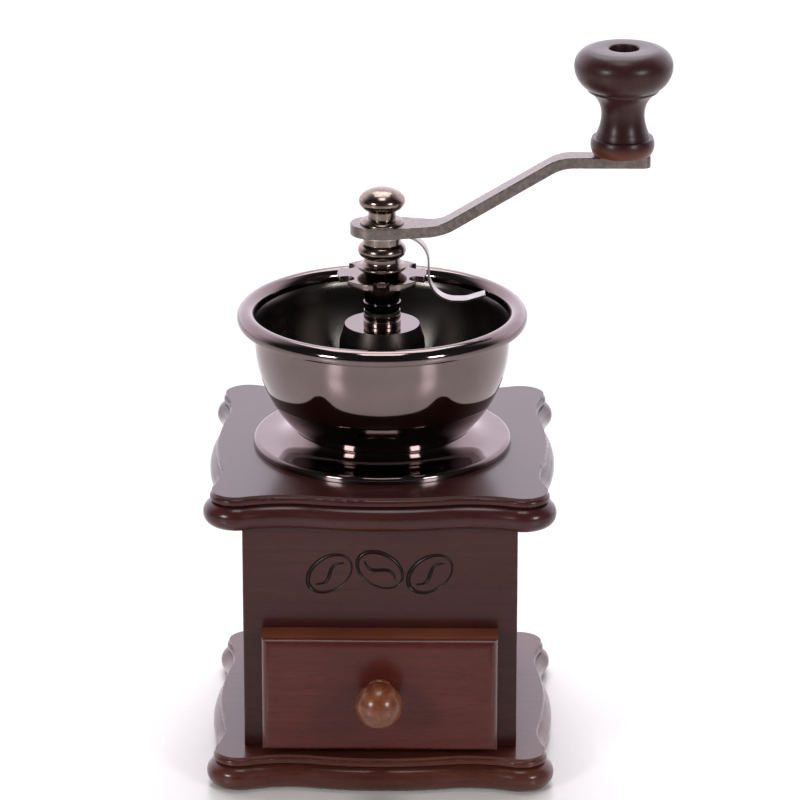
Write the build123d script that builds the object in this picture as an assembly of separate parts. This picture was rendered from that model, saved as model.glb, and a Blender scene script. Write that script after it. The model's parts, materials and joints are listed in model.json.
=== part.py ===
# A hand-cranked box mill for coffee: moulded boards, a square box with a drawer,
# a spun bowl, and a Z-bent crank that turns a conical burr under the top board.
# Millimetres, +Z up, drawer front towards -Y, origin at the centre of the underside.
from build123d import *
from math import acos, atan, cos, degrees, pi, radians, sin, sqrt, tan
import os

# Boards: a waved outline with round corner lobes and a moulded edge
board_span = 122.6
board_thick = 12.5
lobe_radius = 11.5
dip_depth = 3.0
dip_at = 32.0
bead_height = 8.9
bead_round = 4.3
groove_inset = 3.9
groove_height = 0.7
ovolo_inset = 2.4
ovolo_height = 2.0
ovolo_round = 1.1
face_inset = 3.1
bean_hole = 15.5

# Box: it is as wide and deep as the drawer and its runners need
box_height = 85.5
panel_thick = 8.0

# Drawer and its runners
drawer_width = 72.0
drawer_height = 36.0
drawer_depth = 83.0
drawer_wall = 5.0
drawer_floor = 3.0
floor_recess = 2.0
drawer_slack = 0.5
drawer_lift = 0.1
drawer_back_gap = 5.2
front_gap = 0.2
runner_height = 6.0
runner_width = 10.0
guide_height = 14.0
guide_width = 3.5
front_lap = 4.8
front_lap_top = 3.0
front_lap_low = 3.1
front_edge = 7.5
front_round = 4.0
pull_radius = 8.2
pull_reach = 11.0
pull_rise = 1.5
pull_neck = 3.6
pull_foot = 5.2
pull_foot_height = 1.6
dowel_radius = 3.0
dowel_length = 7.0

# Bowl and its foot flange
rim_radius = 51.3
rim_height = 46.8
rim_tube = 3.3
rim_under_angle = -50.0
rim_crease_angle = 200.0
wall_radius = 45.1
wall_round = 45.0
round_height = 38.9
bowl_sheet = 1.0
lip_bulge = 0.2
throat_rise = 3.6
flange_radius = 45.8
flange_height = 2.6
flange_roll = 1.4
collar_height = 6.5
collar_spread = 5.6
flange_sheet = 1.0

# Dome over the burrs, with windows that let the beans in
dome_height = 43.0
dome_top_radius = 13.2
dome_shoulder_radius = 15.0
dome_shoulder_drop = 6.0
dome_base_radius = 17.8
dome_bore = 15.2
dome_bore_height = 22.0
dome_wall = 1.6
dome_crown = 3.0
window_count = 3
window_width = 13.0
window_height = 15.0
window_sill = 3.0

# Shaft line
shaft_radius = 4.0
drive_square = 5.6
tail_radius = 2.9
bush_radius = 5.2
bush_flange_radius = 6.6
bush_flange_height = 3.9
washer_radius = 6.4
washer_thick = 1.2
spring_length = 20.0
spring_radius = 6.3
spring_wire = 1.2
spring_turns = 4.5
spring_seat_radius = 7.4
spring_seat_height = 2.0

# Conical burrs and the housing that hangs under the top board
ring_radius = 22.5
ring_height = 23.8
ring_headroom = 0.2
ring_mouth = 17.5
burr_height = 22.5
burr_base_radius = 19.0
burr_top_radius = 9.0
burr_drop = 1.0
burr_gap = 0.7
fine_height = 7.0
fine_teeth = 24
fine_width = 2.6
fine_depth = 0.9
fine_skew = 14.0
flute_count = 7
flute_width = 7.0
flute_depth = 3.2
flute_skew = 34.0
slot_count = 8
slot_width = 5.0
slot_depth = 1.8
housing_wall = 3.0
housing_flange_radius = 32.0
housing_flange_height = 4.0
ring_seat = 2.0
bridge_height = 5.0
bridge_arm = 6.0
bridge_hub_radius = 6.5
bridge_clear = 1.1
tail_show = 1.5
nut_thick = 3.4
nut_across = 11.0

# Adjusting wheel, spacer and lock spring
wheel_radius = 15.7
wheel_thick = 2.2
wheel_boss_radius = 6.2
wheel_boss_height = 11.4
boss_ring_radius = 6.6
boss_ring_low = 2.0
boss_ring_height = 1.2
notch_count = 6
notch_width = 5.6
notch_depth = 4.2
spacer_height = 13.6
spacer_foot_radius = 6.2
spacer_flare_radius = 8.8
spacer_flare_rise = 2.1
spacer_flare_edge = 0.7
spacer_waist_radius = 6.3
spacer_waist_low = 3.9
spacer_waist_high = 5.9
spacer_bead_radius = 8.45
spacer_bead_rise = 8.4
spacer_bead_top = 10.9
spacer_neck_radius = 6.6
lock_thick = 0.7
lock_width = 5.5
lock_clear = 0.3
lock_washer_radius = 7.6
lock_shank = 23.8
lock_bend = 9.5
lock_curl = 9.5
lock_dip_run = 13.2
lock_tip_run = 6.7
lock_tip_rise = 2.1

# Crank
arm_thick = 3.9
arm_width = 8.4
arm_end_width = 7.6
arm_hub_radius = 8.0
arm_hub_back = 3.2
arm_hub_fore = 1.5
arm_taper = 20.0
arm_rise = 25.0
arm_bend_low = 21.2
arm_bend_high = 62.9
arm_bend_radius = 14.0
arm_reach = 83.7
arm_tail = 9.9
arm_end_round = 2.6
cap_foot_radius = 7.7
cap_foot_height = 1.6
cap_neck_radius = 4.8
cap_neck_height = 2.9
cap_head_radius = 8.1
cap_head_height = 8.2
cap_crown_angle = 80.0
stud_length = 8.0

# Knob on the crank
knob_height = 37.9
knob_radius = 17.2
knob_belly_drop = 6.2
knob_ring_radius = 12.6
knob_ring_height = 23.6
knob_cove_radius = 11.6
knob_cove_height = 22.3
knob_waist_radius = 7.55
knob_waist_height = 14.5
knob_neck_radius = 9.0
knob_neck_height = 7.7
knob_collar_radius = 9.3
knob_foot_radius = 11.15
knob_foot_edge = 10.0
knob_foot_shoulder = 10.6
knob_foot_height = 6.0
knob_hole_radius = 5.2
knob_hole_depth = 6.5
spindle_radius = 3.0
spindle_tenon_radius = 2.0
spindle_head_radius = 4.4
spindle_head_height = 2.6
knob_washer_radius = 7.0
knob_washer_thick = 0.6

# Clearances: pieces that turn or slide on each other, and pieces fixed together
run_fit = 0.06
seat_fit = 0.03
end_play = 0.06

# Plan of the box and the drawer's opening
box_width = drawer_width + 2 * (drawer_slack + guide_width + panel_thick)
box_depth = drawer_depth - front_gap + drawer_back_gap + panel_thick
open_width = drawer_width + 2 * drawer_slack
open_height = drawer_lift + drawer_height + drawer_slack
arm_end = arm_reach + arm_tail

# Levels up the mill
box_z = board_thick
under_z = box_z + box_height
deck_z = under_z + board_thick
rim_z = deck_z + rim_height
floor_z = deck_z + bowl_sheet
crown_z = floor_z + dome_height
bush_z = crown_z + bush_flange_height
wheel_z = bush_z + end_play + washer_thick + end_play
plate_z = wheel_z + wheel_boss_height
spacer_z = plate_z + wheel_thick + end_play
lock_z = spacer_z + spacer_height
arm_z = lock_z + lock_thick
cap_z = arm_z + arm_thick
knob_arm_z = cap_z + arm_rise
knob_z = knob_arm_z + knob_washer_thick + end_play
ring_z = under_z - ring_headroom - ring_height
burr_z = ring_z - burr_drop
nut_z = burr_z - nut_thick
bridge_z = nut_z - bridge_clear - bridge_height
tail_z = bridge_z - tail_show


def turned(*edges):
    """A solid of revolution about Z from the edges of its half section (radius, height)."""
    return revolve(Plane.XZ * make_face(list(edges)), Axis.Z)


def ring(outer, inner, low, high):
    """A plain ring or disc about Z between two heights."""
    section = Circle(outer) - Circle(inner) if inner else Circle(outer)
    return Pos(0, 0, low) * extrude(section, high - low)


def around(count, shape, start=0.0):
    """Copies of a shape, evenly spaced about Z."""
    return [Rot(0, 0, start + 360 * i / count) * shape for i in range(count)]


def board_outline(inset):
    """The boards' waved outline, drawn in from the bead: a full middle, two dips, round lobes."""
    reach = board_span / 2
    corner = reach - lobe_radius
    dip_radius = ((corner - dip_at) ** 2 / dip_depth + dip_depth) / 2 - lobe_radius
    mid_radius = (dip_at**2 / dip_depth + dip_depth) / 2 - dip_radius
    mid = Vector(0, reach - mid_radius)
    dip = Vector(dip_at, reach - dip_depth + dip_radius)
    lobe = Vector(corner, corner)
    a = mid + (dip - mid).normalized() * (mid_radius - inset)
    b = lobe + (dip - lobe).normalized() * (lobe_radius - inset)
    tip = lobe + Vector(1, 1).normalized() * (lobe_radius - inset)
    low = reach - dip_depth - inset
    side = [
        ThreePointArc((-b.X, b.Y), (-dip_at, low), (-a.X, a.Y)),
        ThreePointArc((-a.X, a.Y), (0, reach - inset), a),
        ThreePointArc(a, (dip_at, low), b),
        ThreePointArc(b, tip, (b.Y, b.X)),
    ]
    return make_face([Rot(0, 0, -90 * k) * edge for k in range(4) for edge in side])


def board():
    """A moulded board: a round bead, a groove, a small ovolo and a flat face."""
    bead = extrude(board_outline(0), bead_height)
    levels = bead.edges().group_by(Axis.Z)
    bead = fillet(levels[0] + levels[-1], bead_round)
    ovolo = extrude(board_outline(ovolo_inset), ovolo_height)
    ovolo = fillet(ovolo.edges().group_by(Axis.Z)[-1], ovolo_round)
    ovolo = Pos(0, 0, bead_height + groove_height) * ovolo
    neck = extrude(board_outline(groove_inset), bead_height + groove_height)
    face = Pos(0, 0, bead_height + groove_height) * extrude(
        board_outline(face_inset), board_thick - bead_height - groove_height
    )
    return bead + neck + ovolo + face


def panels():
    """The four sides of the box: front and back cover the ends of the left and right."""
    mid_z = box_z + box_height / 2
    side_x = (box_width - panel_thick) / 2
    front_y = (box_depth - panel_thick) / 2
    broad = Box(box_width, panel_thick, box_height)
    narrow = Box(panel_thick, box_depth - 2 * panel_thick, box_height)
    opening = Box(open_width, panel_thick, open_height)
    opening_z = box_z + runner_height + open_height / 2
    return {
        "front_panel": Pos(0, -front_y, mid_z) * broad - Pos(0, -front_y, opening_z) * opening,
        "back_panel": Pos(0, front_y, mid_z) * broad,
        "left_panel": Pos(-side_x, 0, mid_z) * narrow,
        "right_panel": Pos(side_x, 0, mid_z) * narrow,
    }


def runner():
    """The right-hand runner: a ledge under the drawer and a guide beside it."""
    inner = box_width / 2 - panel_thick
    guide_x = inner - guide_width
    section = Polyline(
        (inner, 0),
        (inner, runner_height + guide_height),
        (guide_x, runner_height + guide_height),
        (guide_x, runner_height),
        (inner - runner_width, runner_height),
        (inner - runner_width, 0),
        close=True,
    )
    bar = extrude(Plane.XZ * make_face(section), box_depth / 2 - panel_thick, both=True)
    return Pos(0, 0, box_z) * bar


def rounded_edge(width):
    """Section of the drawer front across its width, from its back (0) to its face."""
    half = width / 2
    face = front_edge + front_round
    field = half - front_round
    bulge = (field + front_round * cos(pi / 4), front_edge + front_round * sin(pi / 4))
    right = [
        Line((half, 0), (half, front_edge)),
        ThreePointArc((half, front_edge), bulge, (field, face)),
    ]
    left = [mirror(edge, Plane.YZ) for edge in right]
    closing = [Line((-half, 0), (half, 0)), Line((-field, face), (field, face))]
    return make_face([*right, *left, *closing])


def drawer():
    """The drawer: a round-edged overlay front with its pull, two sides, a back and a floor."""
    back_y = -box_depth / 2 - front_gap
    low = box_z + runner_height + drawer_lift
    mid_z = low + drawer_height / 2
    front_width = open_width + 2 * front_lap
    front_height = front_lap_low + open_height + front_lap_top
    front_z = box_z + runner_height - front_lap_low + front_height / 2
    face_y = back_y - front_edge - front_round
    across = extrude(rounded_edge(front_width), front_height / 2, both=True)
    upright = Rot(0, 90, 0) * extrude(rounded_edge(front_height), front_width / 2, both=True)
    front = Pos(0, back_y, front_z) * Rot(0, 0, 180) * (across & upright)
    facing = Pos(0, face_y, front_z + pull_rise) * Rot(90, 0, 0)
    dowel_hole = Pos(0, 0, -dowel_length) * Cylinder(
        dowel_radius + seat_fit, dowel_length, align=(Align.CENTER, Align.CENTER, Align.MIN)
    )
    side_y = back_y + drawer_depth / 2
    side_x = (drawer_width - drawer_wall) / 2
    side = Box(drawer_wall, drawer_depth, drawer_height)
    inner = drawer_width - 2 * drawer_wall
    floor_depth = drawer_depth - drawer_wall
    floor_mid = low + floor_recess + drawer_floor / 2
    return {
        "drawer_front": front - facing * dowel_hole,
        "drawer_knob": facing * drawer_pull(),
        "drawer_left_side": Pos(-side_x, side_y, mid_z) * side,
        "drawer_right_side": Pos(side_x, side_y, mid_z) * side,
        "drawer_back": Pos(0, back_y + drawer_depth - drawer_wall / 2, mid_z)
        * Box(inner, drawer_wall, drawer_height),
        "drawer_bottom": Pos(0, back_y + floor_depth / 2, floor_mid)
        * Box(inner, floor_depth, drawer_floor),
    }


def drawer_pull():
    """A turned ball on a short neck, with a dowel behind it."""
    neck_z = pull_reach - sqrt(pull_radius**2 - pull_neck**2)
    return turned(
        Line((0, -dowel_length + seat_fit), (dowel_radius, -dowel_length + seat_fit)),
        Line((dowel_radius, -dowel_length + seat_fit), (dowel_radius, 0)),
        Line((dowel_radius, 0), (pull_foot, 0)),
        Line((pull_foot, 0), (pull_foot, pull_foot_height / 2)),
        Line((pull_foot, pull_foot_height / 2), (pull_neck, pull_foot_height)),
        Line((pull_neck, pull_foot_height), (pull_neck, neck_z)),
        ThreePointArc((pull_neck, neck_z), (pull_radius, pull_reach), (0, pull_reach + pull_radius)),
        Line((0, pull_reach + pull_radius), (0, -dowel_length + seat_fit)),
    )


def curve_radius(height, inset=0.0):
    """Radius of the bowl's lower curve at a height over the deck, drawn in by inset."""
    fall = round_height - height
    return wall_radius - wall_round + sqrt((wall_round - inset) ** 2 - fall**2)


def curve_middle(low, inset):
    """A point on the bowl's lower curve, between a low height and its widest part."""
    height = (low + round_height) / 2
    return (curve_radius(height, inset), deck_z + height)


def on_rim(angle):
    """A point on the rolled rim, by its angle from straight out."""
    turn = radians(angle)
    return (rim_radius - rim_tube + rim_tube * cos(turn), rim_z + rim_tube * sin(turn))


def hopper_bowl():
    """The spun bowl: flat floor, round wall, flared lip and a rolled rim."""
    lip = (wall_radius, deck_z + round_height)
    under = on_rim(rim_under_angle)
    crease = on_rim(rim_crease_angle)
    flare = ((lip[0] + under[0]) / 2 + lip_bulge, (lip[1] + under[1]) / 2 - lip_bulge)
    inside = wall_radius - bowl_sheet
    throat = (inside, lip[1] + throat_rise)
    neck = (inside + lip_bulge, (throat[1] + crease[1]) / 2)
    floor_out = (curve_radius(0), deck_z)
    floor_in = (curve_radius(bowl_sheet, bowl_sheet), floor_z)
    return turned(
        Line((bean_hole, deck_z), floor_out),
        ThreePointArc(floor_out, curve_middle(0, 0), lip),
        ThreePointArc(lip, flare, under),
        ThreePointArc(under, on_rim((rim_under_angle + rim_crease_angle) / 2), crease),
        ThreePointArc(crease, neck, throat),
        Line(throat, (inside, lip[1])),
        ThreePointArc((inside, lip[1]), curve_middle(bowl_sheet, bowl_sheet), floor_in),
        Line(floor_in, (bean_hole, floor_z)),
        Line((bean_hole, floor_z), (bean_hole, deck_z)),
    )


def bowl_flange():
    """The pressed foot flange: a collar that hugs the bowl, a flat brim and a turned-down edge."""
    t = flange_sheet
    top_r = curve_radius(collar_height) + seat_fit
    foot_r = top_r + collar_spread
    brim_z = deck_z + flange_height
    roll_r = flange_radius - flange_roll
    collar_z = deck_z + collar_height
    bulge = (top_r + 0.55 * collar_spread, brim_z + 0.62 * (collar_z - brim_z))
    inner_r = curve_radius(collar_height - t) + seat_fit
    inner_bulge = (bulge[0] - 0.7 * t, bulge[1] - 0.7 * t)
    return turned(
        ThreePointArc((top_r, collar_z), bulge, (foot_r, brim_z)),
        Line((foot_r, brim_z), (roll_r, brim_z)),
        ThreePointArc(
            (roll_r, brim_z),
            (roll_r + flange_roll * cos(pi / 4), brim_z - flange_roll * (1 - sin(pi / 4))),
            (flange_radius, brim_z - flange_roll),
        ),
        Polyline(
            (flange_radius, brim_z - flange_roll),
            (flange_radius, deck_z),
            (flange_radius - t, deck_z),
            (flange_radius - t, brim_z - t),
            (foot_r - 0.3 * t, brim_z - t),
        ),
        ThreePointArc((foot_r - 0.3 * t, brim_z - t), inner_bulge, (inner_r, collar_z - t)),
        Line((inner_r, collar_z - t), (top_r, collar_z)),
    )


def burr_dome():
    """The cast dome: a stepped cone with a crown for the bush and windows near its foot."""
    shoulder_z = crown_z - dome_shoulder_drop
    bore_z = floor_z + dome_bore_height
    roof_z = crown_z - dome_crown
    inner_top = dome_top_radius - dome_wall
    shell = turned(
        Polyline(
            (dome_bore, floor_z),
            (dome_base_radius, floor_z),
            (dome_shoulder_radius, shoulder_z),
            (dome_top_radius, crown_z),
            (bush_radius + seat_fit, crown_z),
            (bush_radius + seat_fit, roof_z),
            (inner_top, roof_z),
            (dome_shoulder_radius - dome_wall, shoulder_z),
            (dome_bore, bore_z),
            close=True,
        )
    )
    sill_z = floor_z + window_sill
    straight = window_height - window_width / 2
    arch = Rectangle(window_width, straight, align=(Align.CENTER, Align.MIN))
    arch += Pos(0, straight) * Circle(window_width / 2)
    window = Pos(0, 0, sill_z) * extrude(Plane.XZ * arch, 2 * dome_base_radius)
    return shell - around(window_count, window)


def shaft_bush():
    """The flanged bush in the dome's crown."""
    body = ring(bush_radius, shaft_radius + run_fit, crown_z - dome_crown, crown_z)
    return body + ring(bush_flange_radius, shaft_radius + run_fit, crown_z, bush_z)


def cone_radius(z):
    """Radius of the inner burr's cone at a height."""
    return burr_base_radius - (burr_base_radius - burr_top_radius) * (z - burr_z) / burr_height


def groove(radius, z, width, depth, skew, length, outward):
    """A V-shaped cutter laid along the burr's cone, its point inwards or outwards."""
    lean = degrees(atan((burr_base_radius - burr_top_radius) / burr_height))
    tip, back = (depth, -1.0) if outward else (-depth, 1.0)
    section = make_face(Polyline((tip, 0), (back, width / 2), (back, -width / 2), close=True))
    prism = Pos(0, 0, -length / 2) * extrude(section, length)
    return Pos(radius, 0, z) * Rot(0, -lean, 0) * Rot(skew, 0, 0) * prism


def inner_burr():
    """The turning burr: a cone with wide breaking flutes above a band of fine teeth."""
    top_z = burr_z + burr_height
    cone = turned(
        Polyline(
            (0, burr_z), (burr_base_radius, burr_z), (burr_top_radius, top_z), (0, top_z), close=True
        )
    )
    fine_z = burr_z + fine_height / 2
    flute_z = burr_z + (fine_height + burr_height) / 2
    fine = groove(cone_radius(fine_z), fine_z, fine_width, fine_depth, fine_skew, 2 * fine_height, False)
    flute = groove(
        cone_radius(flute_z), flute_z, flute_width, flute_depth, flute_skew, burr_height, False
    )
    below = ring(2 * burr_base_radius, 0, burr_z - burr_height, burr_z + fine_height)
    bore = Pos(0, 0, burr_z) * extrude(
        Rectangle(drive_square + 2 * seat_fit, drive_square + 2 * seat_fit), burr_height
    )
    teeth = [cut & below for cut in around(fine_teeth, fine)]
    flutes = [cut - below for cut in around(flute_count, flute)]
    return cone - teeth - flutes - bore


def outer_burr():
    """The fixed burr: a ring with fine teeth facing the cone and slots in its mouth."""
    top_z = ring_z + ring_height
    fine_z = ring_z + fine_height
    throat = cone_radius(fine_z) + burr_gap
    body = turned(
        Polyline(
            (cone_radius(ring_z) + burr_gap, ring_z),
            (ring_radius, ring_z),
            (ring_radius, top_z),
            (ring_mouth, top_z),
            (throat, fine_z),
            close=True,
        )
    )
    mid_z = ring_z + fine_height / 2
    fine = groove(
        cone_radius(mid_z) + burr_gap, mid_z, fine_width, fine_depth, -fine_skew, 2 * fine_height, True
    )
    below = ring(2 * ring_radius, 0, ring_z - ring_height, fine_z)
    slot_mid = (fine_z + top_z) / 2
    slot_section = Polyline(
        (slot_depth, 0), (-slot_depth, slot_width), (-slot_depth, -slot_width), close=True
    )
    slot = Pos((throat + ring_mouth) / 2, 0, slot_mid) * Rot(-fine_skew, 0, 0)
    slot *= Pos(0, 0, -ring_height / 2) * extrude(make_face(slot_section), ring_height)
    teeth = [cut & below for cut in around(fine_teeth, fine)]
    slots = [cut - below for cut in around(slot_count, slot)]
    return body - teeth - slots


def burr_housing():
    """The cast cup under the top board: a flange, a seat for the ring and a bearing bridge."""
    outer = ring_radius + seat_fit + housing_wall
    cup = ring(outer, ring_radius - ring_seat, bridge_z, ring_z)
    cup += ring(outer, ring_radius + seat_fit, ring_z, under_z)
    flange_z = under_z - housing_flange_height
    cup += ring(housing_flange_radius, ring_radius + seat_fit, flange_z, under_z)
    arm = Pos(outer / 2, 0, bridge_z + bridge_height / 2) * Box(outer, bridge_arm, bridge_height)
    spider = Part() + around(window_count, arm) + ring(
        bridge_hub_radius, 0, bridge_z, bridge_z + bridge_height
    )
    spider &= ring(outer, 0, bridge_z, bridge_z + bridge_height)
    return cup + spider - ring(tail_radius + run_fit, 0, bridge_z, bridge_z + bridge_height)


def drive_shaft():
    """The shaft: threaded tail, square for the burr, round body with a spring seat, square and stud."""
    burr_top = burr_z + burr_height
    seat_z = crown_z - dome_crown - spring_length
    square = Rectangle(drive_square, drive_square)
    return (
        ring(tail_radius, 0, tail_z, burr_z)
        + Pos(0, 0, burr_z) * extrude(square, burr_height)
        + ring(shaft_radius, 0, burr_top, arm_z)
        + ring(spring_seat_radius, 0, seat_z - spring_seat_height, seat_z)
        + Pos(0, 0, arm_z) * extrude(square, arm_thick)
        + ring(tail_radius, 0, cap_z, cap_z + stud_length)
    )


def burr_spring():
    """The flat-wire spring between the dome's roof and the shaft's seat."""
    low = crown_z - dome_crown - spring_length
    rise = spring_length - spring_wire
    path = Helix(rise / spring_turns, rise, spring_radius)
    section = Plane(path @ 0, x_dir=(1, 0, 0), z_dir=path % 0) * Rectangle(spring_wire, spring_wire)
    return Pos(0, 0, low + spring_wire / 2) * sweep(section, path, is_frenet=True)


def burr_nut():
    """The hexagon nut under the inner burr."""
    section = RegularPolygon(nut_across / 2, 6, major_radius=False)
    return Pos(0, 0, nut_z) * extrude(section - Circle(tail_radius + seat_fit), nut_thick)


def adjusting_wheel():
    """The star wheel: a notched plate on a long threaded boss, one notch towards the viewer."""
    plate = Circle(wheel_radius)
    root = wheel_radius - notch_depth
    notch = Pos(root + notch_width / 2, 0) * Circle(notch_width / 2)
    notch += Pos(wheel_radius, 0) * Rectangle(2 * notch_depth - notch_width, notch_width)
    plate -= around(notch_count, notch, -90)
    wheel = Pos(0, 0, plate_z) * extrude(plate, wheel_thick)
    wheel += ring(wheel_boss_radius, 0, wheel_z, plate_z)
    ring_low = wheel_z + boss_ring_low
    wheel += ring(boss_ring_radius, 0, ring_low, ring_low + boss_ring_height)
    return wheel - ring(shaft_radius + run_fit, 0, wheel_z, plate_z + wheel_thick)


def spacer_collar():
    """The turned spool between the wheel and the arm: a flared foot, a waist and an upper bead."""
    bore = shaft_radius + seat_fit
    z0 = spacer_z
    z1 = z0 + spacer_height
    waist_z = z0 + spacer_waist_high
    bead_z = z0 + spacer_bead_top
    return turned(
        Polyline(
            (bore, z0),
            (spacer_foot_radius, z0),
            (spacer_flare_radius, z0 + spacer_flare_rise),
            (spacer_flare_radius, z0 + spacer_flare_rise + spacer_flare_edge),
            (spacer_waist_radius, z0 + spacer_waist_low),
            (spacer_waist_radius, waist_z),
        ),
        ThreePointArc(
            (spacer_waist_radius, waist_z),
            (spacer_bead_radius, z0 + spacer_bead_rise),
            (spacer_neck_radius, bead_z),
        ),
        Polyline((spacer_neck_radius, bead_z), (spacer_neck_radius, z1), (bore, z1), (bore, z0)),
    )


def lock_spring():
    """The click spring: a washer under the arm and a strip that drops past the wheel and curls out."""
    shank_x = wheel_radius + lock_clear + lock_thick / 2
    dip_x = shank_x + lock_dip_run
    mid_z = lock_z + lock_thick / 2
    foot_z = mid_z - lock_shank
    path = FilletPolyline(
        (0, mid_z),
        (shank_x, mid_z),
        (shank_x, foot_z),
        (dip_x, foot_z),
        (dip_x + lock_tip_run, foot_z + lock_tip_rise),
        radius=[lock_bend, lock_curl, lock_curl],
    )
    strip = extrude(Plane.XZ * trace(path, lock_thick), lock_width / 2, both=True)
    strip += ring(lock_washer_radius, 0, lock_z, arm_z)
    return strip - ring(shaft_radius + seat_fit, 0, lock_z, arm_z)


def crank_arm():
    """The flat arm: a round hub that tapers to a bar with two opposite bends."""
    slope = atan(arm_rise / (arm_bend_high - arm_bend_low))
    shift = arm_thick * tan(slope / 2)
    low, high = arm_z, knob_arm_z - arm_thick
    wide = arm_bend_radius + arm_thick
    hub_x = -arm_hub_back - arm_hub_radius
    under = FilletPolyline(
        (hub_x, low),
        (arm_bend_low, low),
        (arm_bend_high, high),
        (arm_end, high),
        radius=[wide, arm_bend_radius],
    )
    over = FilletPolyline(
        (hub_x, low + arm_thick),
        (arm_bend_low - shift, low + arm_thick),
        (arm_bend_high - shift, high + arm_thick),
        (arm_end, high + arm_thick),
        radius=[arm_bend_radius, wide],
    )
    ends = [Line(under @ 0, over @ 0), Line(under @ 1, over @ 1)]
    side = make_face([*under.edges(), *over.edges(), *ends])
    bent = extrude(Plane.XZ * side, arm_hub_radius, both=True)
    hub = Pos(-arm_hub_back, 0) * Circle(arm_hub_radius) + Pos(arm_hub_fore, 0) * Circle(arm_hub_radius)
    plan = make_hull((hub + Pos(arm_taper, 0) * Circle(arm_width / 2)).edges())
    tip, root = arm_end_width / 2, arm_width / 2
    plan += make_face(
        Polyline((arm_taper, -root), (arm_end, -tip), (arm_end, tip), (arm_taper, root), close=True)
    )
    plan = fillet(plan.vertices().group_by(Axis.X)[-1], arm_end_round)
    blank = Pos(0, 0, low) * extrude(plan, arm_rise + arm_thick)
    square = Rectangle(drive_square + 2 * seat_fit, drive_square + 2 * seat_fit)
    square += Pos(arm_reach, 0) * Circle(spindle_tenon_radius + seat_fit)
    holes = extrude(square, arm_rise + arm_thick)
    return (bent & blank) - Pos(0, 0, low) * holes


def cap_nut():
    """The turned nut that closes the shaft: foot, neck and mushroom head over a blind bore."""
    neck_z = cap_z + cap_foot_height + cap_neck_height
    start = degrees(acos(cap_neck_radius / cap_head_radius))
    half_height = cap_head_height / (1 + sin(radians(start)))
    head_z = neck_z + cap_head_height - half_height
    head = EllipticalCenterArc(
        (0, head_z), cap_head_radius, half_height, -start, arc_size=start + cap_crown_angle
    )
    crown = head @ 1
    bore = tail_radius + seat_fit
    bore_z = cap_z + stud_length + seat_fit
    return turned(
        Polyline(
            (bore, cap_z),
            (cap_foot_radius, cap_z),
            (cap_foot_radius, cap_z + 0.5 * cap_foot_height),
            (cap_neck_radius, cap_z + cap_foot_height),
            (cap_neck_radius, neck_z),
        ),
        head,
        Polyline(crown, (0, crown.Y), (0, bore_z), (bore, bore_z), (bore, cap_z)),
    )


def crank_knob():
    """The turned grip: a foot bead, a thin waist, a ringed cove and a full belly, bored through."""
    z0 = knob_z
    top_z = z0 + knob_height
    foot_z = z0 + knob_foot_height
    neck = (knob_neck_radius, z0 + knob_neck_height)
    waist = (knob_waist_radius, z0 + knob_waist_height)
    cove = (knob_cove_radius, z0 + knob_cove_height)
    ring_top = (knob_ring_radius, z0 + knob_ring_height)
    belly = (knob_radius, top_z - knob_belly_drop)
    top_r = knob_radius - knob_belly_drop
    bore = spindle_radius + run_fit
    knob = turned(
        Line((bore, z0), (knob_foot_edge, z0)),
        ThreePointArc(
            (knob_foot_edge, z0), (knob_foot_radius, (z0 + foot_z) / 2), (knob_foot_shoulder, foot_z)
        ),
        Polyline((knob_foot_shoulder, foot_z), (knob_collar_radius, foot_z), neck),
        TangentArc(waist, neck, tangent=(0, -1)),
        TangentArc(waist, cove, tangent=(0, 1)),
        TangentArc(ring_top, cove, tangent=(0, -1)),
        TangentArc(belly, ring_top, tangent=(0, -1)),
        TangentArc(belly, (top_r, top_z), tangent=(0, 1)),
        Polyline((top_r, top_z), (bore, top_z), (bore, z0)),
    )
    return Pos(arm_reach, 0, 0) * (knob - ring(knob_hole_radius, 0, top_z - knob_hole_depth, top_z))


def knob_spindle():
    """The shoulder screw that the grip turns on: a tenon in the arm, its head sunk in the grip's top."""
    head_z = knob_z + knob_height - knob_hole_depth + end_play
    pin = ring(spindle_tenon_radius, 0, knob_arm_z - arm_thick, knob_arm_z)
    pin += ring(spindle_radius, 0, knob_arm_z, head_z)
    pin += ring(spindle_head_radius, 0, head_z, head_z + spindle_head_height)
    return Pos(arm_reach, 0, 0) * pin


knob_washer = Pos(arm_reach, 0, 0) * ring(
    knob_washer_radius, spindle_radius + seat_fit, knob_arm_z, knob_arm_z + knob_washer_thick
)
thrust_z = bush_z + end_play
right_runner = runner()
lower_board = board()

solids = {
    "base_board": lower_board,
    "top_board": Pos(0, 0, under_z) * lower_board - ring(bean_hole, 0, under_z, deck_z),
    "runner_right": right_runner,
    "runner_left": mirror(right_runner, Plane.YZ),
    "hopper_bowl": hopper_bowl(),
    "bowl_flange": bowl_flange(),
    "burr_dome": burr_dome(),
    "shaft_bush": shaft_bush(),
    "burr_housing": burr_housing(),
    "outer_burr": outer_burr(),
    "inner_burr": inner_burr(),
    "burr_nut": burr_nut(),
    "burr_spring": burr_spring(),
    "drive_shaft": drive_shaft(),
    "thrust_washer": ring(washer_radius, shaft_radius + run_fit, thrust_z, thrust_z + washer_thick),
    "adjusting_wheel": adjusting_wheel(),
    "spacer_collar": spacer_collar(),
    "lock_spring": lock_spring(),
    "crank_arm": crank_arm(),
    "cap_nut": cap_nut(),
    "crank_knob": crank_knob(),
    "knob_spindle": knob_spindle(),
    "knob_washer": knob_washer,
    **panels(),
    **drawer(),
}

os.makedirs("parts", exist_ok=True)
for name, solid in solids.items():
    export_step(solid, f"parts/{name}.step")
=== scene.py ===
import json
from math import acos, atan2, cos, hypot, pi, radians, sin, sqrt

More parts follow.
